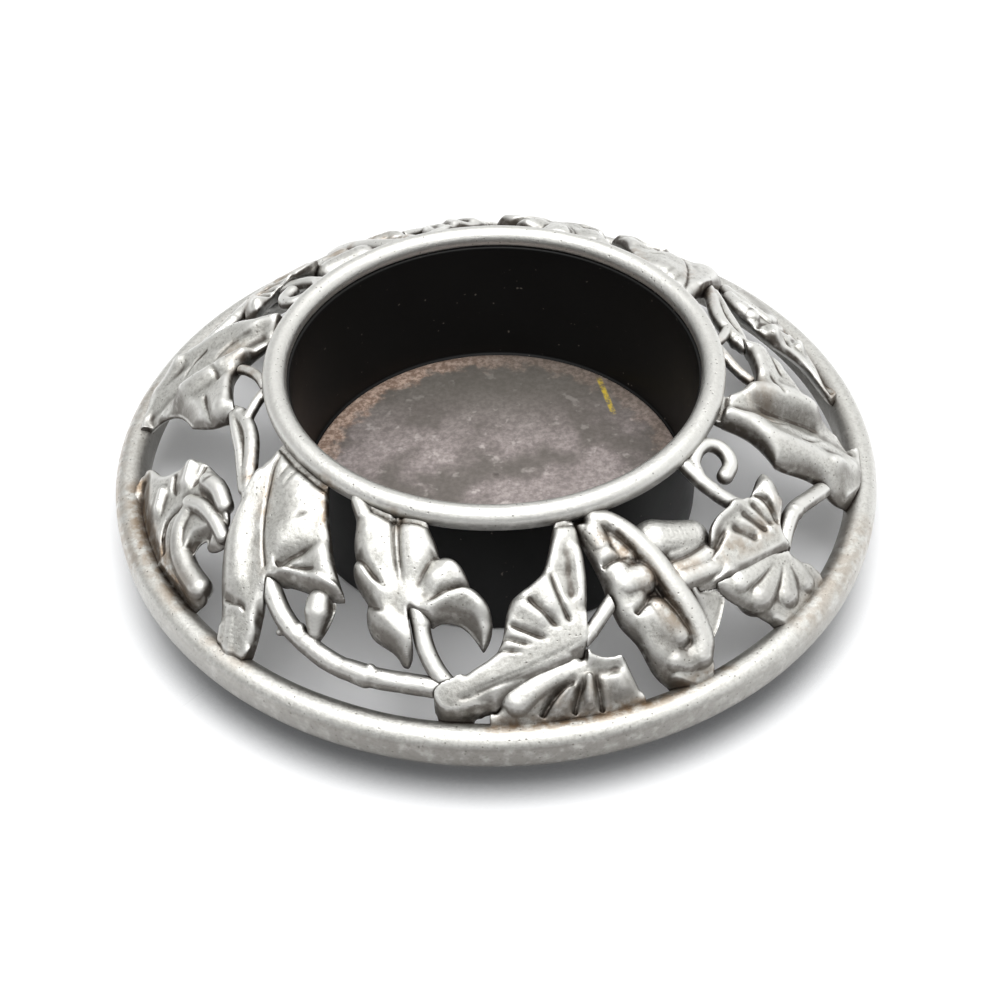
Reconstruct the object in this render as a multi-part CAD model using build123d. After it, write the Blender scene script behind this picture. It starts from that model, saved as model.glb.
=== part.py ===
"""Openwork candle ring that stands over a tealight cup. Millimetres, +Z up, origin on the table under the cup."""

import os
from math import asin, cos, hypot, radians, sin

from build123d import *

# Tealight cup
cup_bore_radius = 20.1
cup_wall = 0.6
cup_floor = 0.8
cup_height = 15.6

# Worn metal disc that lies flush in a recess of the cup's floor
floor_disc_thickness = 0.3
floor_disc_clearance = 0.05
floor_ledge = 0.25

# Top rim, a round bead with a rebate underneath that drops over the cup's edge
rim_bead = 2.4
rim_setback = 0.2
rim_seat_depth = 0.5
rim_slip_clearance = 0.15

# Base ring, which hangs just clear of the table
base_outer_radius = 38.8
base_width = 3.1
base_height = 4.1
base_edge_radius = 1.45
base_lift = 1.85

# Slope of the foliage, a shallow arch from the rim down to the base ring
slope_bulge = 1.2
slope_rim_reach = 0.8
slope_rim_drop = 0.2
slope_foot_inset = 0.45
slope_foot_drop = 0.15

# Foliage castings
leaf_thickness = 1.2
leaf_proud = 0.3
flower_proud = 1.0
flower_thickness = 1.6
trough_depth = 1.3
solder_gap = 0.05
leaf_tip_thickness = 0.3
leaf_tip_lap = 0.25

# Round stems
vine_stem_width = 1.9
leaf_stalk_width = 1.7
flower_stalk_width = 1.4
side_stem_width = 1.7
loop_tendril_width = 1.5
rim_strut_width = 1.1
tendril_foot_width = 1.5
tendril_curl_width = 1.2

# The pattern of one half repeats on the other half
half_turn = 180

cup_outer_radius = cup_bore_radius + cup_wall
recess_radius = cup_bore_radius - floor_ledge
bore_bottom = cup_floor + floor_disc_thickness
rim_inner_radius = cup_bore_radius + rim_setback
rim_radius = rim_inner_radius + rim_bead / 2
rim_height = cup_height + rim_seat_depth
base_radius = base_outer_radius - base_width / 2
base_middle = base_lift + base_height / 2
base_top = base_lift + base_height
overall_height = rim_height + rim_bead / 2

# Ends of the foliage arch, as radius and height
slope_start = (rim_radius + slope_rim_reach, rim_height - slope_rim_drop)
slope_end = (base_radius - slope_foot_inset, base_top - slope_foot_drop)
slope_run = slope_end[0] - slope_start[0]
slope_fall = slope_end[1] - slope_start[1]
slope_chord = hypot(slope_run, slope_fall)
arch_radius = (slope_chord**2 / 4 + slope_bulge**2) / (2 * slope_bulge)
arch_half_angle = asin(slope_chord / 2 / arch_radius)
along = (slope_run / slope_chord, slope_fall / slope_chord)
outward = (-along[1], along[0])
arch_centre = (
    (slope_start[0] + slope_end[0]) / 2 + outward[0] * (slope_bulge - arch_radius),
    (slope_start[1] + slope_end[1]) / 2 + outward[1] * (slope_bulge - arch_radius),
)


def slope_point(share, proud=0.0):
    """Radius and height at a share of the way from rim to base ring, standing proud of the arch."""
    angle = (2 * share - 1) * arch_half_angle
    reach = arch_radius + proud
    radius = arch_centre[0] + reach * (sin(angle) * along[0] + cos(angle) * outward[0])
    height = arch_centre[1] + reach * (sin(angle) * along[1] + cos(angle) * outward[1])
    return radius, height


def slope_spot(place, proud=0.0):
    """Point at an azimuth in degrees and a share of the way down the slope, standing proud of the arch."""
    azimuth, share = place
    radius, height = slope_point(share, proud)
    return Vector(radius * cos(radians(azimuth)), radius * sin(radians(azimuth)), height)


def plan_point(place):
    """Plan position of an azimuth in degrees and a share of the way down the slope."""
    spot = slope_spot(place)
    return Vector(spot.X, spot.Y)


def outline(*runs):
    """Plan face whose edge is one smooth curve for each run; a run of one place is a straight edge."""
    corner = plan_point(runs[-1][-1])
    edges = []
    for run in runs:
        points = [corner] + [plan_point(place) for place in run]
        edges.append(Line(*points) if len(points) == 2 else Spline(*points))
        corner = points[-1]
    return make_face(edges)


def rod(width, *places):
    """Round stem with round ends through the given places, its top level with the leaves."""
    spots = [slope_spot(place, leaf_proud - width / 2) for place in places]
    path = Spline(*spots)
    stem = sweep(Plane(path @ 0, z_dir=path % 0) * Circle(width / 2), path)
    for end in (spots[0], spots[-1]):
        stem += Pos(end) * Sphere(width / 2)
    return stem


def largest_face(shape):
    return max(shape.faces(), key=lambda face: face.area)


def largest_solid(shape):
    return max(shape.solids(), key=lambda solid: solid.volume)


def ring_section(width, height, edge_radius, radius, middle):
    """Solid of revolution with a rounded rectangular section."""
    edge = min(edge_radius, 0.48 * width, 0.48 * height)
    section = Plane.XZ * Pos(radius, middle) * RectangleRounded(width, height, edge)
    return revolve(section, Axis.Z)


def arch_band(proud, depth):
    """Solid of revolution under the foliage arch, from its proud face to a depth below that face."""
    outer = [slope_point(share, proud) for share in (0, 0.5, 1)]
    inner = [slope_point(share, proud - depth) for share in (1, 0.5, 0)]
    outer = [Vector(radius, 0, height) for radius, height in outer]
    inner = [Vector(radius, 0, height) for radius, height in inner]
    edges = [
        ThreePointArc(*outer),
        Line(outer[-1], inner[0]),
        ThreePointArc(*inner),
        Line(inner[-1], outer[0]),
    ]
    return revolve(make_face(edges), Axis.Z)


def rings_with_gap():
    """Rim and base ring with the solder gap round them."""
    rim = Pos(0, 0, rim_height) * Torus(rim_radius, rim_bead / 2 + solder_gap)
    return rim + ring_section(
        base_width + 2 * solder_gap,
        base_height + 2 * solder_gap,
        base_edge_radius + solder_gap,
        base_radius,
        base_middle,
    )


def leaf_tips():
    """Thin lap on the outer shoulder of the rim, where the leaves' tips climb it."""
    lap = Pos(0, 0, rim_height) * Torus(rim_radius, rim_bead / 2 + leaf_tip_thickness)
    tip_radius = rim_radius + rim_bead / 2 - leaf_tip_lap
    return lap - drum(tip_radius, 0, 2 * rim_height) - drum(2 * rim_radius, 0, slope_start[1])


def drum(radius, low, high):
    """Upright cylinder on the axis between two heights."""
    return Pos(0, 0, low) * Cylinder(radius, high - low, align=(Align.CENTER, Align.CENTER, Align.MIN))


def cup():
    body = drum(cup_outer_radius, 0, cup_height)
    body -= drum(cup_bore_radius, bore_bottom, cup_height)
    return body - drum(recess_radius, cup_floor, bore_bottom)


def floor_disc():
    return drum(recess_radius - floor_disc_clearance, cup_floor, bore_bottom)


def top_rim():
    bead = Pos(0, 0, rim_height) * Torus(rim_radius, rim_bead / 2)
    return bead - drum(cup_outer_radius + rim_slip_clearance, 0, cup_height)


def base_ring():
    return ring_section(base_width, base_height, base_edge_radius, base_radius, base_middle)


def leaf_faces():
    """Plan faces of the leaves and flowers of one half, as azimuths and shares of the way down the slope."""
    faces = {}
    faces["fold_leaf"] = outline(
        [(158.4, 0.1), (159, 0.2), (158.5, 0.3), (157, 0.4)],
        [(158.4, 0.5), (160.2, 0.6), (161, 0.69), (160.8, 0.79), (161.8, 0.88), (164, 0.95), (167.5, 1.03)],
        [(176.5, 1.03)],
        [(175.8, 0.9), (176.5, 0.78), (178, 0.68), (181, 0.58), (185.5, 0.5)],
        [(188.5, 0.4), (190.8, 0.28), (190.8, 0.2)],
        [(186, 0.205), (181, 0.215), (177, 0.205), (174, 0.155), (170.5, 0.08), (165, -0.03)],
        [(157.8, -0.03)],
    )
    faces["broad_leaf"] = outline(
        [(209.5, 0.1), (212.5, 0.27), (214.8, 0.43), (217, 0.57), (219.7, 0.68), (222.6, 0.79), (226.3, 1.03)],
        [(231.2, 1.03)],
        [(231.9, 0.92), (231.5, 0.8), (230.4, 0.69), (228.5, 0.575)],
        [(231.5, 0.54), (235, 0.515), (239, 0.51), (243.4, 0.48)],
        [(241.5, 0.42), (238.5, 0.33), (236, 0.245), (233, 0.16), (229.5, 0.06), (225.5, -0.03)],
        [(207, -0.03)],
    )
    faces["curled_leaf"] = outline(
        [(189, 0.95), (187.7, 0.88), (190, 0.78), (193, 0.72), (195, 0.6), (195.8, 0.5)],
        [(198.5, 0.43), (203.5, 0.385), (206, 0.37), (209, 0.4), (212, 0.435), (214, 0.47)],
        [(215, 0.51), (216.8, 0.55), (216.4, 0.595), (212.6, 0.625)],
        [(211.8, 0.7), (212.8, 0.765), (215.4, 0.805), (218.4, 0.815)],
        [(219.8, 0.85), (219.2, 0.9), (216, 0.93), (211.5, 0.94), (207.5, 0.96), (205, 1.03)],
        [(191, 1.03)],
    )
    faces["bud"] = outline(
        [(237.2, 0.6), (239, 0.68), (240.6, 0.78)],
        [(241.8, 0.67), (242.3, 0.57), (241.6, 0.47)],
        [(236.2, 0.5)],
    )
    faces["lobed_leaf"] = outline(
        [(235.5, 0.035), (238.5, 0.1), (240.2, 0.19), (242.3, 0.275)],
        [(243, 0.35), (244.8, 0.405), (247.5, 0.46)],
        [(248, 0.535), (249.5, 0.6), (253, 0.645), (255.2, 0.7)],
        [(256.5, 0.7), (256.7, 0.65), (256, 0.57), (254.7, 0.46)],
        [(259.3, 0.5)],
        [(261, 0.475), (263.5, 0.48), (265.5, 0.52), (267.6, 0.605)],
        [(268.9, 0.53), (269, 0.45), (267.7, 0.37), (265.2, 0.315)],
        [(264, 0.245), (261.5, 0.185), (258.3, 0.175)],
        [(256.5, 0.08), (254.7, 0.025), (253.5, -0.03)],
        [(232.8, -0.03)],
    )
    faces["wing_leaf_upper"] = outline(
        [(281.5, 0.09), (279.7, 0.2), (277.5, 0.28), (274.7, 0.325), (272.3, 0.375)],
        [(271.2, 0.47), (270.5, 0.57), (269.3, 0.635)],
        [(266, 0.71), (262.5, 0.79), (260.7, 0.86), (261.5, 0.92), (264, 0.94), (269.5, 0.9)],
        [(271.3, 0.84), (275, 0.765), (279, 0.71), (283, 0.68)],
        [(284.1, 0.6), (285, 0.48), (286.3, 0.34), (287.3, 0.18), (287.9, -0.03)],
        [(284.5, -0.03)],
    )
    faces["wing_leaf_lower"] = outline(
        [(268.8, 1.03)],
        [(290.8, 1.03)],
        [(290.3, 0.9), (289.6, 0.78), (289.3, 0.715)],
        [(287, 0.71), (285, 0.69), (283.4, 0.64)],
        [(275, 0.7), (269, 0.84)],
        [(268.6, 0.92)],
    )
    faces["flower_mouth"] = outline(
        [(287.7, 0.08), (288.8, 0.22), (289.5, 0.4), (290.3, 0.56), (292, 0.66), (293, 0.8), (295.5, 0.93), (299, 1.03)],
        [(300.5, 1.03)],
        [(302.4, 0.9), (303.4, 0.75), (303.6, 0.58), (302.8, 0.43), (301.5, 0.28), (299.3, 0.12), (294.8, -0.03)],
        [(287.6, -0.03)],
    )
    faces["fan_leaf_upper"] = outline(
        [(305.3, 0.475)],
        [(308, 0.47), (310.5, 0.44), (312, 0.385), (314.5, 0.34), (318, 0.335), (322, 0.345)],
        [(326, 0.375), (329.5, 0.355), (332.3, 0.36)],
        [(332.6, 0.42), (331, 0.51), (328.5, 0.565), (326, 0.6), (324.3, 0.72)],
        [(320, 0.665), (315, 0.63), (310, 0.6), (305.3, 0.565)],
    )
    faces["fan_leaf_lower"] = outline(
        [(309.5, 0.68), (311.5, 0.77), (313.5, 0.87), (316.5, 1.03)],
        [(326.8, 1.03)],
        [(326.6, 0.96), (327, 0.89), (326, 0.82), (324.7, 0.77), (324, 0.7)],
        [(308.3, 0.58)],
    )
    faces["flower_tube"] = outline(
        [(304, 0.225), (308, 0.295), (312.8, 0.39)],
        [(310.8, 0.5)],
        [(309.6, 0.64)],
        [(306.3, 0.745), (302.5, 0.83)],
        [(300.6, 0.18)],
    )
    return faces


def stems():
    """Round stems and tendrils of one half."""
    solids = {}
    solids["short_tendril"] = rod(rim_strut_width, (175.5, 0.25), (177.8, 0.13), (181, 0.065), (186.5, 0.01))
    solids["loop_tendril"] = rod(
        loop_tendril_width, (189.5, 0.22), (195, 0.155), (199, 0.15), (203.5, 0.18), (208, 0.24), (213.5, 0.33)
    ) + rod(rim_strut_width, (195, 0.15), (191.5, 0.085), (188.8, 0.03), (187, -0.03))
    solids["vine_stem"] = rod(
        vine_stem_width,
        (227.5, 0.56), (231, 0.64), (235, 0.72), (240, 0.78), (245, 0.82), (250, 0.83), (255, 0.825), (263, 0.835),
    )
    solids["leaf_stalk"] = rod(leaf_stalk_width, (256.8, 0.43), (257.6, 0.57), (259.3, 0.68), (262.6, 0.81))
    solids["flower_stalk"] = rod(flower_stalk_width, (282, 0.655), (285.5, 0.575), (288, 0.51), (291, 0.445))
    solids["curl_tendril"] = rod(
        tendril_foot_width, (322.8, 0.39), (320.7, 0.25), (320.2, 0.12), (320.8, -0.03)
    ) + rod(
        tendril_curl_width,
        (320.6, 0.12), (322.4, 0.055), (326, 0.025), (329.3, 0.045), (330.9, 0.1), (330.2, 0.165), (328, 0.215),
        (325.3, 0.22),
    )
    solids["side_stem"] = rod(
        side_stem_width, (323.5, 0.7), (328, 0.645), (331, 0.635), (334.5, 0.665), (338.5, 0.72), (343, 0.78)
    )
    return solids


# Castings that a casting runs up to, and which keep their whole outline
runs_up_to = {
    "short_tendril": ["fold_leaf", "loop_tendril"],
    "loop_tendril": ["fold_leaf", "broad_leaf"],
    "curled_leaf": ["broad_leaf"],
    "vine_stem": ["broad_leaf", "wing_leaf_upper"],
    "bud": ["broad_leaf", "vine_stem"],
    "leaf_stalk": ["lobed_leaf", "vine_stem", "wing_leaf_upper"],
    "wing_leaf_upper": ["flower_mouth"],
    "wing_leaf_lower": ["wing_leaf_upper"],
    "flower_stalk": ["wing_leaf_upper", "wing_leaf_lower", "flower_mouth"],
    "fan_leaf_lower": ["fan_leaf_upper"],
    "flower_tube": ["flower_mouth", "fan_leaf_upper", "fan_leaf_lower"],
    "curl_tendril": ["fan_leaf_upper"],
    "side_stem": ["fan_leaf_upper", "fan_leaf_lower", "next_fold_leaf"],
}


def column(face):
    """Upright solid over a plan face."""
    return extrude(face, overall_height, dir=(0, 0, 1))


def castings():
    """Solid castings of one half, by name."""
    clearance = rings_with_gap()
    leaf_band = arch_band(leaf_proud, leaf_thickness + leaf_proud) + leaf_tips() - clearance
    flower_band = arch_band(flower_proud, flower_thickness + flower_proud) - clearance
    columns = {name: column(face) for name, face in leaf_faces().items()}
    columns["next_fold_leaf"] = Rot(0, 0, half_turn) * columns["fold_leaf"]
    rods = {name: rod - clearance for name, rod in stems().items()}
    blanks = columns | rods
    solids = {}
    for name, blank in blanks.items():
        if name == "next_fold_leaf":
            continue
        for neighbour in runs_up_to.get(name, []):
            blank = blank - blanks[neighbour]
        if name in columns:
            blank = blank & (flower_band if name == "flower_mouth" else leaf_band)
        solids[name] = largest_solid(blank)
    trough = outline(
        [(294.5, 0.085), (296.8, 0.2), (298.2, 0.38), (299.5, 0.58), (301.2, 0.8)],
        [(300.6, 0.87), (299, 0.82)],
        [(297.3, 0.62), (296.1, 0.42), (295, 0.24), (291.6, 0.1)],
    )
    solids["flower_mouth"] -= column(trough) & arch_band(flower_proud, trough_depth)
    return solids


os.makedirs("parts", exist_ok=True)
export_step(cup(), "parts/cup.step")
export_step(floor_disc(), "parts/floor_disc.step")
export_step(top_rim(), "parts/top_rim.step")
export_step(base_ring(), "parts/base_ring.step")
for name, casting in castings().items():
    export_step(casting, f"parts/front_{name}.step")
    export_step(Rot(0, 0, half_turn) * casting, f"parts/back_{name}.step")
print("overall", 2 * base_outer_radius, "across and", overall_height, "high")
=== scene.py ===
"""Looks of the openwork candle ring: sculpted pewter foliage and rims, a black tealight cup and a pale floor.

Lengths are in millimetres and become metres when a piece is made. A place on the foliage is an azimuth in
degrees, counter-clockwise from +X seen from above, and a share of the way down the slope, 0 at the rim and 1
at the base ring.
"""

from collections import namedtuple
from math import acos, asin, atan2, cos, degrees, pi, radians, sin

import bmesh
import bpy
import numpy as np
from mathutils import Matrix, Vector
from mathutils.kdtree import KDTree


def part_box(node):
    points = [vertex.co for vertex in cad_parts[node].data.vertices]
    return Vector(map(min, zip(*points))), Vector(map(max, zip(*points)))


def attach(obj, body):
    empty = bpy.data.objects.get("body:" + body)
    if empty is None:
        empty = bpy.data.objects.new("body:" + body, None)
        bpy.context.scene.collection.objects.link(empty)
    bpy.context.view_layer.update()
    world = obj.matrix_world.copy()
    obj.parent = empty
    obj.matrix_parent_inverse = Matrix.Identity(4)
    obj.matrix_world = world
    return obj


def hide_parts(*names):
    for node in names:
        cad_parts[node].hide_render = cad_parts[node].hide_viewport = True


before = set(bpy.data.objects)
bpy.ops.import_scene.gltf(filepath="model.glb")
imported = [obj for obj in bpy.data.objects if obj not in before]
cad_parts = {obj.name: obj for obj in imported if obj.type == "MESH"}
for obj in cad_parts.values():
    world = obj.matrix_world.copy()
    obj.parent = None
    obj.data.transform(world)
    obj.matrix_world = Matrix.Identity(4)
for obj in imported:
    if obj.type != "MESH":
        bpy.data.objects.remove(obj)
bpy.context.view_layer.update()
mm = 0.001


def corners_of(node):
    """Lowest and highest corner of a node, in millimetres."""
    low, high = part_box(node)
    return np.array(low) / mm, np.array(high) / mm


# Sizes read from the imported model
rim_low, rim_high = corners_of("top_rim")
base_low, base_high = corners_of("base_ring")
_, cup_high = corners_of("cup")
disc_low, disc_high = corners_of("floor_disc")
bead_radius = (rim_high[2] - rim_low[2]) / 2
rim_height = (rim_high[2] + rim_low[2]) / 2
rim_radius = rim_high[0] - bead_radius
base_outer_radius = base_high[0]
cup_outer_radius = cup_high[0]
cup_height = cup_high[2]
disc_radius = disc_high[0]

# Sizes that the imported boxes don't give
base_width = 3.1
base_edge_radius = 1.45
cup_wall = 0.6
cup_edge_radius = 0.22
cup_foot_radius = 0.5
cup_foot_inset = 0.8
cup_corner_height = 0.3
cup_corner_reach = 0.2
cup_corner_middle = (0.08, 0.06)
disc_edge_width = 0.3
disc_edge_drop = 0.12
disc_edge_middle = (0.08, 0.03)
rim_slip_clearance = 0.15
solder_gap = 0.05

# Turned pieces: rings of faces across the disc, and how near the axis the disc and the cup go
disc_rings = 40
disc_inmost_share = 0.002
disc_axis_radius = 0.04
cup_axis_radius = 0.01

# Slope of the foliage, a shallow arch from the rim down to the base ring
slope_bulge = 1.2
slope_rim_reach = 0.8
slope_rim_drop = 0.2
slope_foot_inset = 0.45
slope_foot_drop = 0.15
leaf_thickness = 1.2
leaf_proud = 0.3
flower_thickness = 1.6
flower_proud = 1.0

base_radius = base_outer_radius - base_width / 2
base_middle = (base_low[2] + base_high[2]) / 2
slope_start = np.array([rim_radius + slope_rim_reach, rim_height - slope_rim_drop])
slope_end = np.array([base_radius - slope_foot_inset, base_high[2] - slope_foot_drop])
slope_chord = np.linalg.norm(slope_end - slope_start)
arch_radius = (slope_chord**2 / 4 + slope_bulge**2) / (2 * slope_bulge)
arch_half_angle = asin(slope_chord / 2 / arch_radius)
along = (slope_end - slope_start) / slope_chord
outward = np.array([-along[1], along[0]])
arch_centre = (slope_start + slope_end) / 2 + outward * (slope_bulge - arch_radius)
arch_lean = atan2(outward[0], outward[1])

# Fineness of the sculpted skins, their edges underneath, and how far they are drawn into the rings
rough_voxel = 0.14
fine_voxel = 0.1
outline_step = 0.08
upright_tolerance = 0.05
least_area = 1e-9
least_distance = 1e-6
ease_strength = 0.5
rough_eases = 2
fine_eases = 3
ball_spacing = 0.3
ball_fineness = 3
under_edge_radius = 0.45
stem_voxel = 0.11
weld_depth = 0.12
rim_weld_reach = 0.3
base_weld_reach = 0.35
rim_top_clearance = 0.03

# Unevenness of the castings, how far in a leaf goes on rising, and the least thickness that grooves leave
broad_wave = 0.06
fine_wave = 0.03
leaf_wave_lengths = (3.6, 1.4)
stem_wave_lengths = (2.6, 1.2)
crown_reach = 2.5
least_thickness = 0.3

# Dark lines along grooves: the depth at which they are full, and their reach
crease_full_depth = 0.55
crease_reach = 0.3


def arch_turn(radius, proud=0.0):
    """Angle from upright of the arch's normal at a plan radius."""
    return np.arcsin(np.clip((radius - arch_centre[0]) / (arch_radius + proud), -1, 1))


def arch_height(radius, proud):
    """Height of a surface that stands proud of the arch, at a plan radius."""
    return arch_centre[1] + (arch_radius + proud) * np.cos(arch_turn(radius, proud))


def spots_of(places):
    """Points on the arch, one row for each place."""
    azimuths = np.radians([place[0] for place in places])
    shares = np.array([place[1] for place in places])
    turns = arch_lean + (2 * shares - 1) * arch_half_angle
    radii = arch_centre[0] + arch_radius * np.sin(turns)
    heights = arch_centre[1] + arch_radius * np.cos(turns)
    return np.stack([radii * np.cos(azimuths), radii * np.sin(azimuths), heights], 1)


def radii_of(points):
    """Plan radius of each point."""
    return np.hypot(points[:, 0], points[:, 1])


def on_arch(points):
    """Points moved straight up or down onto the arch."""
    return np.column_stack([points[:, :2], arch_height(radii_of(points), 0.0)])


def outside_of(points):
    """Direction square to the arch at each point."""
    radii = radii_of(points)
    turns = arch_turn(radii)
    return np.column_stack([points[:, :2] / radii[:, None] * np.sin(turns)[:, None], np.cos(turns)])


def smooth_line(places, steps=6):
    """Points on the arch along a smooth curve through the places."""
    spots = spots_of(places)
    if len(spots) < 3:
        return spots
    padded = np.vstack([2 * spots[0] - spots[1], spots, 2 * spots[-1] - spots[-2]])
    share = np.linspace(0, 1, steps, endpoint=False)[:, None]
    runs = []
    for before, start, end, after in zip(padded, padded[1:], padded[2:], padded[3:]):
        run = 2 * start + (end - before) * share
        run = run + (2 * before - 5 * start + 4 * end - after) * share**2
        run = run + (3 * start - before - 3 * end + after) * share**3
        runs.append(run / 2)
    return np.vstack(runs + [spots[-1:]])


def nearest_on(line, spots):
    """Distance from each spot to a line of points, and how far along the line that is, from 0 to 1."""
    if len(line) == 1:
        return np.linalg.norm(spots - line[0], axis=1), np.full(len(spots), 0.5)
    starts, steps = line[:-1], np.diff(line, axis=0)
    lengths = np.linalg.norm(steps, axis=1)
    offsets = spots[:, None, :] - starts[None]
    shares = np.clip(np.einsum("nmk,mk->nm", offsets, steps) / lengths**2, 0, 1)
    gaps = np.linalg.norm(offsets - shares[..., None] * steps, axis=2)
    best = gaps.argmin(1)
    rows = np.arange(len(spots))
    walked = np.concatenate([[0], np.cumsum(lengths)])
    travelled = walked[best] + shares[rows, best] * lengths[best]
    return gaps[rows, best], travelled / walked[-1]


def smooth(value):
    """Soft step from 0 to 1."""
    value = np.clip(value, 0, 1)
    return value * value * (3 - 2 * value)


def fading(values, start, width, strength=1.0):
    """Soft step from 0 at a start to the strength one width on, or back where the width is below 0."""
    return strength * smooth((values - start) / width)


# Strokes of relief: height, reach to each side, the places they pass, and the shares that fade at each end
Stroke = namedtuple("Stroke", "kind height reach places fade")


def ridge(height, reach, *places, fade=(0.15, 0.15)):
    return Stroke("ridge", height, reach, places, fade)


def groove(depth, reach, *places, fade=(0.05, 0.3)):
    return Stroke("groove", -depth, reach, places, fade)


def swell(height, reach, *places):
    return Stroke("swell", height, reach, places, (0, 0))


def stroke_height(stroke, spots):
    """Height that one stroke adds at each spot."""
    gap, travelled = nearest_on(smooth_line(stroke.places), spots)
    across = np.clip(1 - gap / stroke.reach, 0, 1)
    profile = across**2 if stroke.kind == "groove" else smooth(across)
    start, end = stroke.fade
    taper = np.ones(len(spots))
    if start > 0:
        taper = taper * smooth(travelled / start)
    if end > 0:
        taper = taper * smooth((1 - travelled) / end)
    return stroke.height * profile * taper


def relief(strokes, spots):
    """Height over the leaf at each spot: swells add up, and the highest ridge and deepest groove count."""
    swells = np.zeros(len(spots))
    ridges = np.zeros(len(spots))
    grooves = np.zeros(len(spots))
    for stroke in strokes:
        height = stroke_height(stroke, spots)
        if stroke.kind == "ridge":
            ridges = np.maximum(ridges, height)
        elif stroke.kind == "groove":
            grooves = np.minimum(grooves, height)
        else:
            swells = swells + height
    return swells + ridges + grooves


# Round bodies on the castings: height of their middle over the arch, radius at each end, and their places
Rod = namedtuple("Rod", "proud start end places")


def rod(proud, start, end, *places):
    return Rod(proud, start, end, places)


# Leaves and flowers of one half: edge radius, rise of the middle, depth under their neighbours, relief
Leaf = namedtuple("Leaf", "edge crown sink strokes rods")
leaves = {}


def leaf(name, edge, crown, sink, *shapes):
    strokes = [shape for shape in shapes if isinstance(shape, Stroke)]
    rods = [shape for shape in shapes if isinstance(shape, Rod)]
    leaves[name] = Leaf(edge, crown, sink, strokes, rods)


leaf(
    "broad_leaf", 0.95, 0.1, 0.0,
    groove(
        0.3, 0.4, (210.5, 0.04), (214, 0.14), (217, 0.22), (220.5, 0.33), (224, 0.44), (228, 0.56),
        fade=(0.1, 0.05),
    ),
    groove(0.12, 0.5, (215.5, 0.05), (216.4, 0.11), (217.6, 0.18)),
    groove(0.12, 0.5, (219, 0.04), (219.3, 0.11), (219.8, 0.18)),
    groove(0.2, 0.6, (228.8, 0.2), (227.7, 0.24), (226.6, 0.29), fade=(0.3, 0.5)),
    groove(0.7, 1.3, (234.6, 0.31), (232.8, 0.355), (230.8, 0.42), (229.2, 0.51), fade=(0.45, 0.05)),
    groove(0.3, 0.45, (237, 0.43), (234.5, 0.445), (231.6, 0.48), fade=(0.3, 0.1)),
    ridge(0.5, 0.8, (229.4, 0.54), (232, 0.515), (236, 0.492), (240, 0.482), (243, 0.47)),
    swell(0.55, 2.4, (211.5, 0.22), (215, 0.4), (219.6, 0.56), (223.4, 0.7)),
    swell(0.4, 2.6, (221, 0.14), (226, 0.24), (227, 0.38)),
    swell(0.4, 1.8, (236, 0.36), (238, 0.42)),
    groove(0.45, 0.5, (223.6, 0.8), (225.6, 0.79), (227.4, 0.775), (229, 0.8), fade=(0.1, 0.3)),
    swell(-0.5, 1.4, (230.8, 0.66), (231.6, 0.76)),
    rod(-1.0, 1.5, 1.6, (227, 0.86), (227.8, 0.93), (228.6, 1.0)),
)
leaf(
    "lobed_leaf", 1.0, 0.1, 0.0,
    groove(
        0.4, 0.45, (246, -0.02), (247, 0.06), (248.5, 0.15), (250.5, 0.27), (252.6, 0.39),
        fade=(0.02, 0.35),
    ),
    groove(
        0.4, 0.45, (247.6, -0.02), (248.3, 0.06), (249.6, 0.15), (251.5, 0.27), (253.4, 0.39),
        fade=(0.02, 0.35),
    ),
    groove(0.65, 0.8, (242.2, 0.275), (245.5, 0.325), (248.5, 0.38), (251.4, 0.425), fade=(0.02, 0.5)),
    groove(0.5, 0.6, (247.6, 0.475), (249.5, 0.505), (251.5, 0.53), fade=(0.02, 0.6)),
    groove(0.4, 1.2, (258, 0.17), (256.9, 0.23), (256.1, 0.31), (255.4, 0.39), fade=(0.02, 0.5)),
    groove(
        0.7, 0.7, (265.2, 0.31), (262.5, 0.345), (260.3, 0.375), (258.7, 0.42), (257.6, 0.46),
        fade=(0.02, 0.45),
    ),
    swell(0.5, 2.8, (240.4, 0.08), (245, 0.22)),
    swell(0.5, 2.5, (252, 0.06), (254, 0.22)),
    swell(0.5, 1.7, (245, 0.36), (249.5, 0.43)),
    swell(0.4, 1.7, (250.6, 0.55), (254.4, 0.62)),
    swell(0.55, 1.9, (261.4, 0.25), (259, 0.32)),
    swell(0.65, 1.6, (259.4, 0.46), (261.4, 0.415), (264.4, 0.39), (266.8, 0.43)),
    swell(-0.5, 0.9, (262, 0.49), (264.8, 0.505), (266.6, 0.56)),
    swell(0.2, 1.5, (255, 0.43), (256.6, 0.48)),
    rod(-0.2, 1.1, 0.75, (243, 0.14), (240, 0.07)),
    rod(0.15, 0.75, 0.42, (240, 0.07), (237.2, 0.025), (234.1, -0.02)),
    swell(-0.5, 1.1, (246, -0.03), (253, -0.03)),
)
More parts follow.
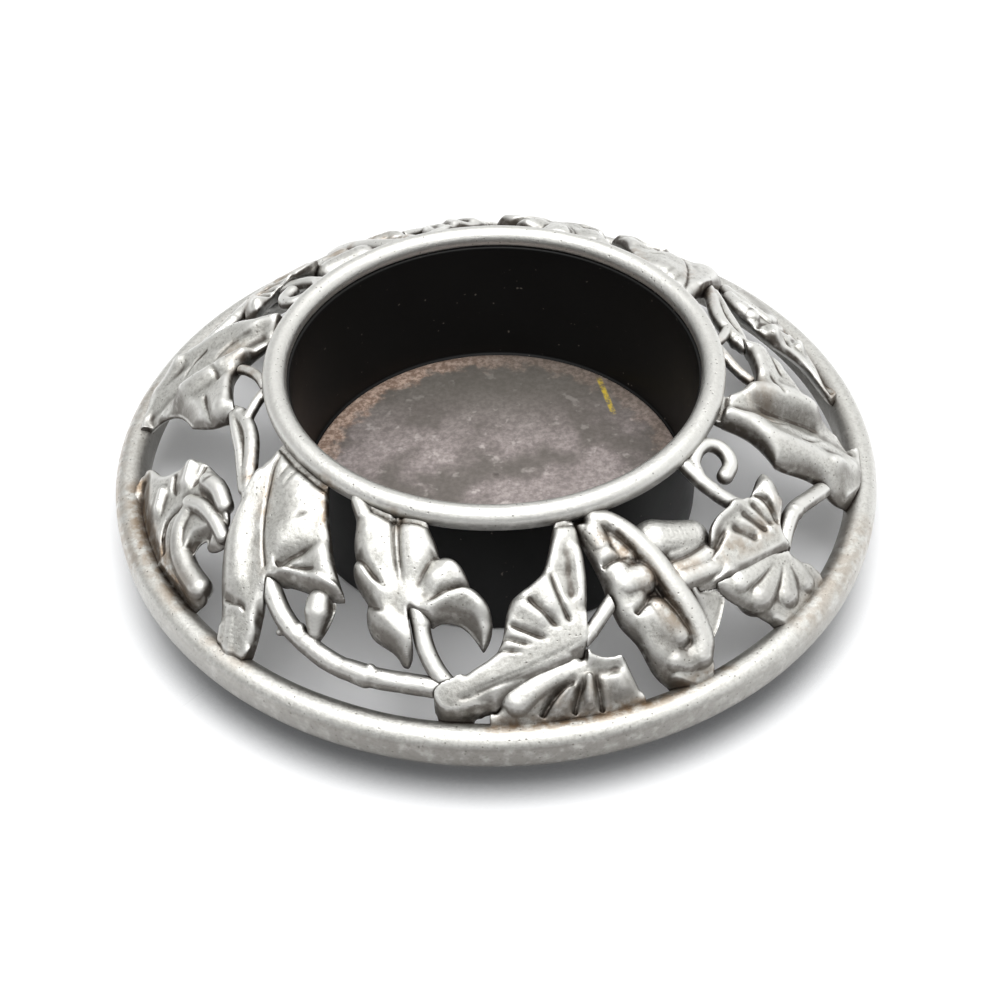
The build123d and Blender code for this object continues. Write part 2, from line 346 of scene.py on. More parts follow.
leaf(
    "wing_leaf_upper", 0.9, 0.1, 0.0,
    swell(-0.3, 1.5, (283.4, 0.2), (283.2, 0.38)),
    groove(0.5, 0.6, (279.8, 0.26), (280.2, 0.35), (281, 0.46), (282, 0.56), fade=(0.25, 0.2)),
    groove(0.5, 0.6, (275, 0.38), (276.6, 0.44), (278.8, 0.52), (280.4, 0.57), fade=(0.15, 0.3)),
    groove(0.45, 0.5, (271.4, 0.5), (273.6, 0.54), (276.6, 0.585), (278.6, 0.61), fade=(0.15, 0.35)),
    groove(0.4, 0.4, (270.6, 0.565), (273, 0.6), (275.6, 0.63), fade=(0.1, 0.4)),
    groove(0.35, 0.4, (269.6, 0.625), (272, 0.645), (274.2, 0.662), fade=(0.1, 0.4)),
    rod(-1.0, 1.3, 1.2, (264.6, 0.85), (267.6, 0.795), (271.6, 0.745), (276, 0.7), (280, 0.665)),
    rod(-1.5, 1.7, 1.4, (266.6, 0.87), (269.4, 0.825), (273, 0.78)),
    groove(0.4, 0.5, (264, 0.89), (267.6, 0.83), (271.6, 0.775), (276, 0.73), fade=(0.1, 0.3)),
    swell(0.4, 1.8, (283.6, 0.1), (281.4, 0.2)),
    swell(0.4, 1.8, (278.6, 0.34), (279.4, 0.44)),
    swell(0.4, 1.2, (286, 0.2), (285, 0.42)),
    swell(0.35, 1.3, (274.4, 0.44), (276.8, 0.5)),
    rod(-0.4, 0.72, 0.55, (285, 0.588), (283, 0.622), (281, 0.648), (278, 0.675)),
)
leaf(
    "wing_leaf_lower", 0.85, 0.0, 0.4,
    rod(-1.3, 1.7, 1.15, (272.6, 0.89), (274.4, 0.845), (276.8, 0.8), (281.4, 0.745)),
    ridge(0.35, 1.2, (283.4, 0.69), (286, 0.71), (289, 0.72), fade=(0.05, 0.05)),
    ridge(0.5, 0.7, (283.2, 0.77), (282.9, 0.86), (282.4, 0.96), fade=(0.2, 0.1)),
    groove(0.7, 0.7, (281.8, 0.78), (279.6, 0.82), (277.4, 0.87), (275.6, 0.95), fade=(0.3, 0.05)),
    groove(0.6, 0.6, (282.4, 0.79), (281.2, 0.87), (280.2, 0.96), fade=(0.3, 0.05)),
    groove(0.6, 0.6, (284.2, 0.77), (284.3, 0.87), (284.2, 0.97), fade=(0.3, 0.05)),
    swell(0.45, 1.1, (279.8, 0.86), (278, 0.93)),
    swell(-0.25, 1.2, (285.2, 0.765), (287.2, 0.775)),
    swell(0.35, 1.4, (287, 0.85), (287.6, 0.9)),
    swell(-0.5, 0.7, (272, 1.02), (281, 1.02), (290, 1.02)),
)
leaf(
    "flower_mouth", 1.3, 0.0, 0.75,
    groove(
        0.55, 0.55, (293.2, 0.08), (295.9, 0.19), (297.5, 0.32), (298.7, 0.45), (299.3, 0.56),
        (300, 0.68), (300.2, 0.78), fade=(0.1, 0.1),
    ),
    groove(0.6, 0.65, (290, 0.29), (293.4, 0.28), (297, 0.31), fade=(0.02, 0.1)),
    groove(0.6, 0.65, (292.6, 0.57), (295.4, 0.525), (298.2, 0.46), fade=(0.02, 0.1)),
    swell(-0.4, 1.1, (293.2, 0.13), (295.2, 0.24)),
    swell(0.35, 1.9, (292.2, 0.4), (295.4, 0.41)),
    swell(0.35, 1.9, (295.8, 0.61), (298, 0.71)),
    rod(-1.0, 1.75, 1.65, (293.2, 0.405), (296, 0.41)),
    rod(-1.2, 1.2, 1.2, (293.6, 0.17), (295.4, 0.28)),
    rod(-0.95, 1.4, 1.5, (296.6, 0.59), (297.5, 0.66), (298.2, 0.74)),
    swell(-0.5, 1.0, (299, 0.77), (300.2, 0.79)),
    rod(
        -0.45, 1.0, 1.3, (292.4, 0.05), (295.2, 0.085), (298, 0.19), (299.8, 0.33), (300.9, 0.5),
        (301.6, 0.66), (301.6, 0.8), (300.4, 0.88),
    ),
    rod(-0.7, 1.3, 1.3, (296.6, 0.85), (298.2, 0.88), (300, 0.86)),
    rod(-0.6, 1.1, 1.0, (291, 0.1), (291.4, 0.18)),
)
leaf(
    "flower_tube", 0.9, 0.0, 0.4,
    groove(0.5, 0.6, (302, 0.38), (305, 0.4), (308, 0.405), (311.5, 0.405), fade=(0.05, 0.2)),
    swell(-0.8, 3.0, (303.6, 0.74), (308, 0.66)),
    rod(-1.7, 2.2, 1.8, (303, 0.26), (306.5, 0.3), (310.4, 0.34)),
    rod(-1.2, 1.3, 1.2, (303.4, 0.46), (307, 0.465), (310.4, 0.46)),
)
leaf(
    "fan_leaf_upper", 0.85, 0.1, 0.0,
    ridge(0.55, 0.9, (310.6, 0.45), (312.6, 0.39), (316, 0.362), (320, 0.365), (323, 0.38), fade=(0.1, 0.2)),
    groove(0.6, 0.7, (308.6, 0.475), (311.6, 0.455), (314, 0.43), (316.4, 0.425), fade=(0.05, 0.4)),
    swell(-0.4, 0.9, (317.6, 0.45), (319.4, 0.54)),
    swell(-0.4, 0.8, (321.2, 0.43), (322.4, 0.55)),
    swell(-0.4, 0.8, (324.2, 0.43), (324.4, 0.55)),
    groove(0.5, 0.6, (326.2, 0.385), (326.8, 0.46), (326, 0.54), (325, 0.62), fade=(0.1, 0.2)),
    swell(0.5, 1.4, (329.6, 0.44), (328, 0.52)),
    groove(0.4, 0.5, (311, 0.6), (315, 0.635), (320, 0.675), (324, 0.71), fade=(0.2, 0.05)),
    rod(-0.85, 1.25, 0.9, (303.6, 0.5), (308.6, 0.525), (313, 0.56), (318, 0.6)),
    swell(-0.5, 1.6, (304, 0.53), (309, 0.54)),
)
leaf(
    "fan_leaf_lower", 0.85, 0.0, 0.4,
    rod(-1.3, 1.6, 1.2, (312.6, 0.67), (316, 0.68), (321, 0.68)),
    rod(-1.35, 1.8, 1.2, (314.6, 0.8), (317.6, 0.77), (321.4, 0.725)),
    rod(-1.35, 1.8, 1.2, (318.8, 0.89), (320.4, 0.83), (322.2, 0.75)),
    rod(-1.3, 1.6, 1.2, (323.2, 0.92), (323.4, 0.86), (323, 0.77)),
)
leaf(
    "fold_leaf", 1.0, 0.1, 0.0,
    ridge(
        0.8, 2.2, (159.6, 0.02), (161.6, 0.2), (161.4, 0.38), (163.2, 0.58), (165, 0.78), (167, 0.95),
        fade=(0.05, 0.2),
    ),
    swell(-0.8, 2.2, (165.6, 0.12), (168.4, 0.24), (170, 0.38), (171, 0.52), (172.6, 0.7), (174.6, 0.9)),
    ridge(0.8, 2.2, (170.4, 0.12), (173.4, 0.28), (175, 0.42), (175.8, 0.56), (176, 0.7)),
    groove(0.2, 0.5, (164.4, 0.2), (166, 0.34), (169.6, 0.46)),
    groove(0.6, 1.0, (168.6, 0.16), (170, 0.3), (171.4, 0.44), (172.6, 0.56), (173, 0.68), fade=(0.2, 0.2)),
    groove(0.2, 0.5, (165.4, 0.52), (167.4, 0.6), (170.4, 0.68)),
    swell(0.5, 2.2, (166, 0.82), (169, 0.95)),
    groove(0.3, 0.8, (180, 0.3), (176.5, 0.34), (173.6, 0.4), fade=(0.2, 0.2)),
    swell(0.6, 2.4, (180, 0.26), (187, 0.28)),
    groove(0.4, 0.8, (191, 0.34), (188, 0.36), (183.6, 0.385), (179.6, 0.41)),
    swell(-0.5, 1.4, (176, 0.74), (179, 0.62), (185, 0.49)),
)
leaf(
    "curled_leaf", 0.9, 0.0, 0.3,
    groove(0.5, 0.6, (214.8, 0.505), (211, 0.505), (207, 0.51), (203.6, 0.535), fade=(0.05, 0.4)),
    swell(-0.8, 1.0, (212.6, 0.63), (211.2, 0.69), (212, 0.76)),
    groove(0.6, 0.6, (204.2, 0.64), (203.2, 0.72), (203.6, 0.8), (205.6, 0.87), (208, 0.91), fade=(0.2, 0.1)),
    groove(0.45, 0.6, (199.4, 0.43), (201.4, 0.5), (202.4, 0.58), fade=(0.1, 0.4)),
    groove(0.45, 0.6, (203.2, 0.395), (204.2, 0.46), (204, 0.54), fade=(0.1, 0.4)),
    groove(0.45, 0.7, (196, 0.64), (198.6, 0.67), (201.4, 0.67), fade=(0.05, 0.4)),
    swell(0.7, 1.4, (197.6, 0.54), (200, 0.6)),
    swell(0.6, 1.3, (197.6, 0.78), (199.6, 0.84)),
    swell(-0.7, 1.6, (190, 0.9), (197, 0.95), (206, 0.97)),
    rod(-0.4, 1.05, 0.85, (203.6, 0.47), (207, 0.445), (211, 0.462)),
    rod(-0.4, 0.95, 0.72, (204.4, 0.62), (207.6, 0.565), (211.6, 0.552), (215.6, 0.572)),
    rod(-0.65, 1.05, 1.25, (205.2, 0.64), (206.4, 0.74), (209.2, 0.815), (213.2, 0.855), (217.5, 0.868)),
)
leaf(
    "bud", 0.9, 0.0, 0.9,
    rod(-0.6, 1.15, 1.3, (239.1, 0.555), (239.6, 0.605)),
    rod(-0.6, 1.3, 0.7, (239.6, 0.605), (240.5, 0.71)),
)

# Round stems of one half, with the knobs and strands laid on them
stems = {
    "short_tendril": [],
    "loop_tendril": [
        rod(
            -0.3, 0.55, 0.55, (190.5, 0.215), (195, 0.222), (199, 0.229), (203, 0.245), (207.5, 0.285),
            (211.5, 0.33),
        ),
        rod(-0.5, 0.85, 0.85, (191.4, 0.185)),
    ],
    "vine_stem": [
        rod(-0.65, 0.97, 1.08, (247, 0.825), (250.2, 0.832)),
        rod(-0.3, 0.5, 0.4, (250.8, 0.79), (251.4, 0.8)),
        rod(-0.62, 1.0, 1.0, (239.6, 0.774), (240.4, 0.78)),
        rod(-0.5, 0.65, 0.34, (237.8, 0.725), (236.2, 0.75), (234.8, 0.785)),
    ],
    "leaf_stalk": [rod(-0.6, 0.8, 0.95, (254.2, 0.37), (256.2, 0.46), (257.2, 0.52))],
    "flower_stalk": [],
    "curl_tendril": [
        rod(
            -0.3, 0.62, 0.8, (321, 0.1), (322.4, 0.055), (326, 0.028), (329.3, 0.045), (330.8, 0.1),
            (330.3, 0.165), (328.4, 0.208), (325.3, 0.22),
        ),
    ],
    "side_stem": [
        rod(-0.55, 0.5, 0.5, (325, 0.675), (327.5, 0.675), (330, 0.66)),
        rod(-0.55, 0.92, 0.92, (331.4, 0.64)),
    ],
}

# Castings that grow out of each other, so that the leaves' edges aren't rounded there
grown_together = {
    "vine_stem": ["broad_leaf", "wing_leaf_upper"],
    "leaf_stalk": ["lobed_leaf"],
    "flower_stalk": ["wing_leaf_upper", "wing_leaf_lower"],
    "curl_tendril": ["fan_leaf_upper"],
    "side_stem": ["fan_leaf_upper", "fan_leaf_lower"],
    "loop_tendril": ["broad_leaf", "fold_leaf"],
    "fan_leaf_upper": ["fan_leaf_lower"],
}
grown_reach = 0.5


def points_of(mesh):
    """Vertex positions of a mesh."""
    points = np.empty(len(mesh.vertices) * 3)
    mesh.vertices.foreach_get("co", points)
    return points.reshape(-1, 3)


def move_points(mesh, points):
    """Puts the vertices of a mesh at new positions."""
    mesh.vertices.foreach_set("co", points.ravel())
    mesh.update()


def outline_of(node):
    """Points along a casting's upright walls, seen from above, without the walls that meet the base ring."""
    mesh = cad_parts[node].data
    points = points_of(mesh) / mm
    mesh.calc_loop_triangles()
    corners = np.empty(len(mesh.loop_triangles) * 3, np.int32)
    mesh.loop_triangles.foreach_get("vertices", corners)
    first, second, third = (points[corners[column::3]] for column in range(3))
    normals = np.cross(second - first, third - first)
    size = np.linalg.norm(normals, axis=1)
    upright = np.abs(normals[:, 2]) < upright_tolerance * np.maximum(size, least_area)
    starts = np.vstack([first[upright], second[upright], third[upright]])[:, :2]
    ends = np.vstack([second[upright], third[upright], first[upright]])[:, :2]
    counts = np.maximum(np.ceil(np.linalg.norm(ends - starts, axis=1) / outline_step).astype(int), 1)
    shares = np.concatenate([np.arange(count) / count for count in counts])[:, None]
    outline = np.repeat(starts, counts, 0) + np.repeat(ends - starts, counts, 0) * shares
    base_inner_radius = base_outer_radius - base_width - 2 * solder_gap
    return outline[radii_of(outline) < base_inner_radius]


def tree_of(outline):
    """Search tree of plan points."""
    tree = KDTree(len(outline))
    for index, (x, y) in enumerate(outline):
        tree.insert((x, y, 0), index)
    tree.balance()
    return tree


def gap_to(tree, plan):
    """Plan distance from each point to the nearest point of a tree."""
    return np.array([tree.find((x, y, 0))[2] for x, y in plan])


def free_outlines(prefix):
    """Each leaf's outline, less the stretches where another casting grows out of it."""
    outlines = {name: outline_of(prefix + name) for name in leaves}
    ends = {name: points_of(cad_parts[prefix + name].data)[:, :2] / mm for name in stems}
    shapes = outlines | ends
    free = dict(outlines)
    pairs = [(first, second) for first, others in grown_together.items() for second in others]
    for first, second in pairs:
        for name, other in ((first, second), (second, first)):
            if name in leaves:
                free[name] = free[name][gap_to(tree_of(shapes[other]), free[name]) > grown_reach]
    return free


def skin_of(mesh, voxel, eases):
    """A mesh rebuilt as an even skin of small faces and eased."""
    body = bpy.data.objects.new("skin", mesh)
    bpy.context.scene.collection.objects.link(body)
    rebuild = body.modifiers.new("rebuild", "REMESH")
    rebuild.mode = "VOXEL"
    rebuild.voxel_size = voxel
    ease = body.modifiers.new("ease", "SMOOTH")
    ease.factor = ease_strength
    ease.iterations = eases
    depsgraph = bpy.context.evaluated_depsgraph_get()
    skin = bpy.data.meshes.new_from_object(body.evaluated_get(depsgraph))
    bpy.data.objects.remove(body)
    return skin


def add_rod(mesh, shape):
    """Adds a round body to a mesh, as a row of balls that the skin joins."""
    line = smooth_line(shape.places, steps=12)
    walked = np.concatenate([[0], np.cumsum(np.linalg.norm(np.diff(line, axis=0), axis=1))])
    step = ball_spacing * min(shape.start, shape.end)
    count = int(np.ceil(walked[-1] / step)) + 1
    building = bmesh.new()
    building.from_mesh(mesh)
    for share in np.linspace(0, 1, count):
        spot = np.array([np.interp(share * walked[-1], walked, line[:, axis]) for axis in range(3)])
        spot = spot + outside_of(spot[None])[0] * shape.proud
        radius = shape.start + (shape.end - shape.start) * share
        place = Matrix.Translation(spot)
        bmesh.ops.create_icosphere(building, subdivisions=ball_fineness, radius=radius, matrix=place)
    building.to_mesh(mesh)
    building.free()


def uneven(spots, size):
    """Gentle waves of a hand-finished casting, from -1 to 1, about as long as a size in millimetres."""
    total = np.zeros(len(spots))
    waves = 7
    turn_step = 2.4
    shift_step = 1.7
    for wave in range(waves):
        heading = turn_step * wave
        pace = 0.7 + 0.1 * wave
        across = spots[:, 0] * cos(heading) + spots[:, 1] * sin(heading)
        total = total + np.sin(across * pace * 2 * pi / size + shift_step * wave)
    return total / waves


def hand_finish(spots, lengths):
    """Unevenness of a casting, in millimetres, of a longer and a shorter wave."""
    long_wave, short_wave = lengths
    return broad_wave * uneven(spots, long_wave) + fine_wave * uneven(spots, short_wave)


def rounded_off(gap, radius):
    """Drop of a round edge at a distance from the outline."""
    return radius - np.sqrt(radius**2 - np.clip(radius - gap, 0, radius) ** 2)


def sculpted_leaf(points, name, tree):
    """The points of a leaf, moved up or down so that its top follows its relief."""
    shape = leaves[name]
    flower = name == "flower_mouth"
    plan = points[:, :2]
    radii = radii_of(points)
    top = arch_height(radii, flower_proud if flower else leaf_proud)
    under = arch_height(radii, -flower_thickness if flower else -leaf_thickness)
    spots = on_arch(points)
    gap = gap_to(tree, plan)
    lift = relief(shape.strokes, spots) + shape.crown * smooth(gap / crown_reach)
    lift = lift + hand_finish(spots, leaf_wave_lengths)
    lift = (lift - rounded_off(gap, shape.edge) - shape.sink) / np.cos(arch_turn(radii))
    new_under = under + rounded_off(gap, under_edge_radius)
    new_top = np.maximum(top + lift, new_under + least_thickness)
    level = np.clip((points[:, 2] - under) / (top - under), 0, 1)
    return np.column_stack([plan, new_under + level * (new_top - new_under)])


def sculpted_stem(points):
    """The points of a stem, a little uneven."""
    lift = hand_finish(on_arch(points), stem_wave_lengths)
    return np.column_stack([points[:, :2], points[:, 2] + lift])


def creases_at(strokes, points):
    """Strength of the dark lines along the grooves, at points in millimetres."""
    total = np.zeros(len(points))
    spots = on_arch(points)
    for stroke in strokes:
        if stroke.kind == "groove":
            strength = min(1.0, -stroke.height / crease_full_depth)
            line = stroke._replace(height=strength, reach=crease_reach, kind="ridge")
            total = np.maximum(total, stroke_height(line, spots))
    return total


def points_and_normals(mesh):
    """Vertex positions and normals of a mesh."""
    normals = np.empty(len(mesh.vertices) * 3)
    mesh.vertex_normals.foreach_get("vector", normals)
    return points_of(mesh), normals.reshape(-1, 3)


# Painted shade by the way a face looks to the light: strength down the slope, and how far tops and undersides
# are spared
low_strength = 0.85
upward_ease = 0.7
under_ease = 0.7


def flank_shade_of(mesh):
    """Painted shade of each vertex: 0 on tops, up to 1 on sides and on faces down the slope, little
    underneath.
    """
    points, normals = points_and_normals(mesh)
    facing = np.einsum("nk,nk->n", normals, outside_of(points))
    leaning = np.einsum("nk,nk->n", normals[:, :2], points[:, :2]) / radii_of(points)
    low = fading(normals[:, 2], start=0.66, width=-0.35) * fading(leaning, start=0.0, width=0.4)
    upward = fading(normals[:, 2], start=0.55, width=0.3)
    under = fading(facing, start=-0.1, width=-0.4)
    side = fading(facing, start=0.88, width=-0.55)
    side = side * (1 - upward_ease * upward) * (1 - under_ease * under)
    return np.maximum(side, low_strength * low * (1 - under))


def welded(points):
    """Points close to the rim or the base ring, drawn a little way into it so that no gap shows."""
    radii = radii_of(points)
    section = np.column_stack([radii, points[:, 2]])
    half_core = np.array([base_width, base_high[2] - base_low[2]]) / 2 - base_edge_radius
    for centre, core, radius, reach in (
        ((rim_radius, rim_height), (0, 0), bead_radius, rim_weld_reach),
        ((base_radius, base_middle), half_core, base_edge_radius, base_weld_reach),
    ):
        offset = section - centre
        nearest = np.clip(offset, -np.array(core), core)
        away = offset - nearest
        distance = np.maximum(np.linalg.norm(away, axis=1, keepdims=True), least_distance)
        clear = np.maximum(distance - radius, 0)
        drawn = distance - (clear + weld_depth) * (1 - smooth(clear / reach))
        section = centre + nearest + away * drawn / distance
    section[:, 1] = np.minimum(section[:, 1], rim_high[2] - rim_top_clearance)
    turned = points[:, :2] * (section[:, 0] / radii)[:, None]
    return np.column_stack([turned, section[:, 1]])


def hollows_of(mesh, rounds=44):
    """How far each vertex lies below its surroundings, in millimetres, and less than zero on ridges."""
    points, normals = points_and_normals(mesh)
    edges = np.empty(len(mesh.edges) * 2, np.int32)
    mesh.edges.foreach_get("vertices", edges)
    starts, ends = edges.reshape(-1, 2).T
    near = np.concatenate([starts, ends])
    far = np.concatenate([ends, starts])
    count = np.bincount(near, minlength=len(points))[:, None]
    eased = points
    for _ in range(rounds):
        sums = np.column_stack([np.bincount(near, eased[far, axis], len(points)) for axis in range(3)])
        eased = sums / count
    return np.einsum("nk,nk->n", eased - points, normals)


# Stains: strength, reach in millimetres, and the places they pass
Stain = namedtuple("Stain", "strength reach places")
stains = [
    Stain(1.0, 1.6, [(227, 0.02), (229.5, 0.07), (233, 0.17)]),
    Stain(0.7, 1.2, [(216, 0.19), (219, 0.29), (221, 0.35)]),
    Stain(0.4, 1.0, [(224, 0.45), (228, 0.56)]),
    Stain(1.0, 2.6, [(190, 0.95), (200, 0.97), (208, 0.95), (216, 0.95)]),
    Stain(0.9, 2.2, [(165, 1.08), (178, 1.1), (190, 1.1), (205, 1.08)]),
    Stain(0.7, 1.4, [(206, 0.14), (209, 0.2), (211, 0.26)]),
    Stain(0.8, 1.4, [(246, -0.02), (248, 0.06)]),
    Stain(0.5, 1.6, [(225, 1.02), (232, 1.02)]),
    Stain(1.0, 1.3, [(269, 1.0), (280, 1.0), (291, 1.0)]),
    Stain(1.0, 0.9, [(295.9, 0.19), (297.9, 0.36), (299.6, 0.6), (300.2, 0.78)]),
    Stain(0.8, 2.0, [(292.5, 0.16), (295, 0.22), (297, 0.4), (298.4, 0.66)]),
    Stain(0.8, 1.6, [(292, 1.0), (303, 1.0)]),
    Stain(0.7, 1.6, [(303, 0.44), (306, 0.47)]),
    Stain(0.6, 2.0, [(313, 0.5), (320, 0.54), (328, 0.52)]),
    Stain(0.6, 2.4, [(318, 1.05), (330, 1.05), (340, 1.08)]),
    Stain(0.6, 2.4, [(168, 0.3), (178, 0.14), (186, 0.1)]),
    Stain(0.5, 2.0, [(277, 0.9), (284, 0.86)]),
]

# Darker patches on folds and lower edges, towards the base ring
dark_patches = [
    Stain(0.75, 2.0, [(271, 0.98), (276, 0.95), (282, 0.94), (288, 0.92)]),
    Stain(0.6, 1.2, [(280, 0.85), (278, 0.92)]),
    Stain(0.45, 2.0, [(264, 0.88), (268, 0.82)]),
    Stain(0.6, 2.2, [(296, 0.72), (299, 0.92)]),
    Stain(0.35, 2.6, [(314, 0.82), (320, 0.9), (325, 0.92)]),
    Stain(0.5, 2.0, [(207, 0.8), (213, 0.86), (217, 0.87)]),
    Stain(0.55, 1.8, [(246, 0.42), (250.5, 0.54)]),
    Stain(0.35, 1.2, [(239, 0.78), (245, 0.825), (252, 0.84)]),
    Stain(0.5, 1.6, [(305, 0.62), (308, 0.72)]),
]


def strength_at(patches, points):
    """Strength of the stains or darker patches at points in millimetres."""
    total = np.zeros(len(points))
    for stain in patches:
        gap, _ = nearest_on(smooth_line(stain.places), points)
        total = np.maximum(total, stain.strength * smooth(1 - gap / stain.reach))
    return total


def set_values(mesh, name, values):
    """Stores one number for each vertex, for the material to read."""
    attribute = mesh.attributes.new(name, "FLOAT", "POINT")
    attribute.data.foreach_set("value", values.astype(np.float32))


def dress(name, mesh, node, body, material):
    """Makes a piece of a mesh in millimetres, and lets it stand for a node of the frame."""
    mesh.name = name
    mesh.transform(Matrix.Scale(mm, 4))
    mesh.materials.clear()
    mesh.materials.append(material)
    mesh.polygons.foreach_set("use_smooth", [True] * len(mesh.polygons))
    piece = bpy.data.objects.new(name, mesh)
    bpy.context.scene.collection.objects.link(piece)
    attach(piece, body)
    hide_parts(node)


def sculpt(name, outlines):
    """Sculpted mesh of one front casting, in millimetres."""
    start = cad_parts["front_" + name].data.copy()
    start.transform(Matrix.Scale(1 / mm, 4))
    is_leaf = name in leaves
    skin = skin_of(start, rough_voxel if is_leaf else stem_voxel, rough_eases)
    points = points_of(skin)
    points = sculpted_leaf(points, name, tree_of(outlines[name])) if is_leaf else sculpted_stem(points)
    move_points(skin, points)
    for shape in leaves[name].rods if is_leaf else stems[name]:
        add_rod(skin, shape)
    skin = skin_of(skin, fine_voxel if is_leaf else stem_voxel, fine_eases)
    points = welded(points_of(skin))
    move_points(skin, points)
    set_values(skin, "hollow", hollows_of(skin))
    set_values(skin, "stain", strength_at(stains, points))
    # Painted shade on sides and faces down the slope, joined with the darker patches
    set_values(skin, "shade_and_tarnish", np.maximum(flank_shade_of(skin), strength_at(dark_patches, points)))
    set_values(skin, "crease", creases_at(leaves[name].strokes if is_leaf else [], points))
    return skin


# Waves of a turned ring that isn't quite true: share of the wobble, number round the ring, and shift
ring_waves = [(0.2, 5, 1), (0.17, 11, 2), (0.13, 23, 0)]
ring_wave_middle = 0.5
ring_inset_least = 0.3


def lathe(profile, turns=360, wobble=0.0):
    """Ring turned from a closed profile of radius and height, a little uneven inward where wobble is set."""
    profile = np.array(profile)
    middle = profile.mean(0)
    angles = np.linspace(0, 2 * pi, turns, endpoint=False)
    waves = np.full(turns, ring_wave_middle)
    for share, times, shift in ring_waves:
        waves = waves + share * np.sin(times * angles + shift)
    points = []
    for angle, wave in zip(angles, waves):
        inset = 1 - wobble * (wave + ring_inset_least)
        for radius, height in middle + (profile - middle) * inset:
            points.append((radius * cos(angle), radius * sin(angle), height))
    count = len(profile)
    faces = []
    for turn in range(turns):
        near, far = turn * count, (turn + 1) % turns * count
        for step in range(count):
            following = (step + 1) % count
            faces.append((near + step, far + step, far + following, near + following))
    mesh = bpy.data.meshes.new("ring")
    mesh.from_pydata(points, [], faces)
    mesh.update()
    return mesh


def arc(centre, radius, start, end, steps):
    """Points of a profile along an arc, angles in degrees from outward."""
    angles = np.radians(np.linspace(start, end, steps))
    return [(centre[0] + radius * cos(angle), centre[1] + radius * sin(angle)) for angle in angles]


def rim_profile():
    """Round bead with the rebate that rests on the cup's edge."""
    centre = (rim_radius, rim_height)
    seat_radius = cup_outer_radius + rim_slip_clearance
    low_angle = -degrees(acos((seat_radius - rim_radius) / bead_radius))
    seat_angle = 180 + degrees(asin((rim_height - cup_height) / bead_radius))
    return arc(centre, bead_radius, low_angle, seat_angle, 60) + [(seat_radius, cup_height)]


def base_profile():
    """Rounded upright section of the base ring."""
    half_width = base_width / 2 - base_edge_radius
    low, high = base_low[2] + base_edge_radius, base_high[2] - base_edge_radius
    outer, inner = base_radius + half_width, base_radius - half_width
    profile = arc((outer, low), base_edge_radius, -90, 0, 14)
    profile += arc((outer, high), base_edge_radius, 0, 90, 14)
    profile += arc((inner, high), base_edge_radius, 90, 180, 14)
    profile += arc((inner, low), base_edge_radius, 180, 270, 14)
    return profile


def cup_profile():
    """Thin upright wall with an eased lip, and a floor that leaves the middle to the disc."""
    outer, inner = cup_outer_radius, cup_outer_radius - cup_wall
    lip = cup_height - cup_edge_radius
    floor_top, seat = disc_high[2], disc_low[2]
    recess = disc_radius + solder_gap
    corner_out, corner_up = cup_corner_middle
    profile = [(cup_axis_radius, 0.0), (outer - cup_foot_inset, 0.0)]
    profile += arc((outer - cup_foot_radius, cup_foot_radius), cup_foot_radius, -90, 0, 8)
    profile += arc((outer - cup_edge_radius, lip), cup_edge_radius, 0, 90, 6)
    profile += arc((inner + cup_edge_radius, lip), cup_edge_radius, 90, 180, 6)
    profile += [(inner, floor_top + cup_corner_height), (inner - corner_out, floor_top + corner_up)]
    profile += [(inner - cup_corner_reach, floor_top), (recess, floor_top)]
    profile += [(recess, seat), (cup_axis_radius, seat)]
    return profile


def disc_profile():
    """Worn disc, a little rounded at its edge."""
    low, high = disc_low[2], disc_high[2]
    edge_in, edge_down = disc_edge_middle
    edge = [(disc_radius, low), (disc_radius, high - disc_edge_drop)]
    edge += [(disc_radius - edge_in, high - edge_down)]
    shares = np.linspace(1, disc_inmost_share, disc_rings)
    rings = [(share * (disc_radius - disc_edge_width), high) for share in shares]
    return [(disc_axis_radius, low)] + edge + rings


def set_inputs(tree, node, inputs):
    """Gives a node its inputs, as values or links."""
    for key, value in dict(inputs).items():
        if isinstance(value, bpy.types.NodeSocket):
            tree.links.new(value, node.inputs[key])
        else:
            node.inputs[key].default_value = value


def add_node(tree, kind, inputs=(), **settings):
    """Adds a node with its settings and its inputs."""
    made = tree.nodes.new(kind)
    for name, value in settings.items():
        setattr(made, name, value)
    set_inputs(tree, made, inputs)
    return made


def new_material(name):
    """Material with its node tree, its shader, and the coordinates of the piece."""
    material = bpy.data.materials.new(name)
    material.use_nodes = True
    tree = material.node_tree
    shader = tree.nodes["Principled BSDF"]
    place = add_node(tree, "ShaderNodeTexCoord").outputs["Object"]
    return material, tree, shader, place


def noise(tree, place, size, detail=3.0, roughness=0.55):
    """Noise whose patches are about as large as a size in millimetres."""
    inputs = {"Vector": place, "Scale": 1 / (size * mm), "Detail": detail, "Roughness": roughness}
    return add_node(tree, "ShaderNodeTexNoise", inputs).outputs["Fac"]


def between(tree, value, low, high):
    """0 up to a low value, 1 from a high one, and soft in between."""
    inputs = {"Value": value, "From Min": low, "From Max": high}
    return add_node(tree, "ShaderNodeMapRange", inputs, interpolation_type="SMOOTHSTEP").outputs["Result"]


def maths(tree, operation, result, *values):
    """A first value, joined with each of the others in turn by an operation."""
    for value in values:
        result = add_node(tree, "ShaderNodeMath", {0: result, 1: value}, operation=operation).outputs[0]
    return result


def scaled(tree, value, factor, offset=0.0):
    """A value times a factor, plus an offset."""
    return maths(tree, "ADD", maths(tree, "MULTIPLY", value, factor), offset)


def vectors(tree, operation, first, second=(0, 0, 0)):
    return add_node(tree, "ShaderNodeVectorMath", {0: first, 1: second}, operation=operation).outputs


def mixed(tree, share, first, second):
    """One colour over another."""
    inputs = {0: share, 6: first, 7: second}
    return add_node(tree, "ShaderNodeMix", inputs, data_type="RGBA").outputs[2]


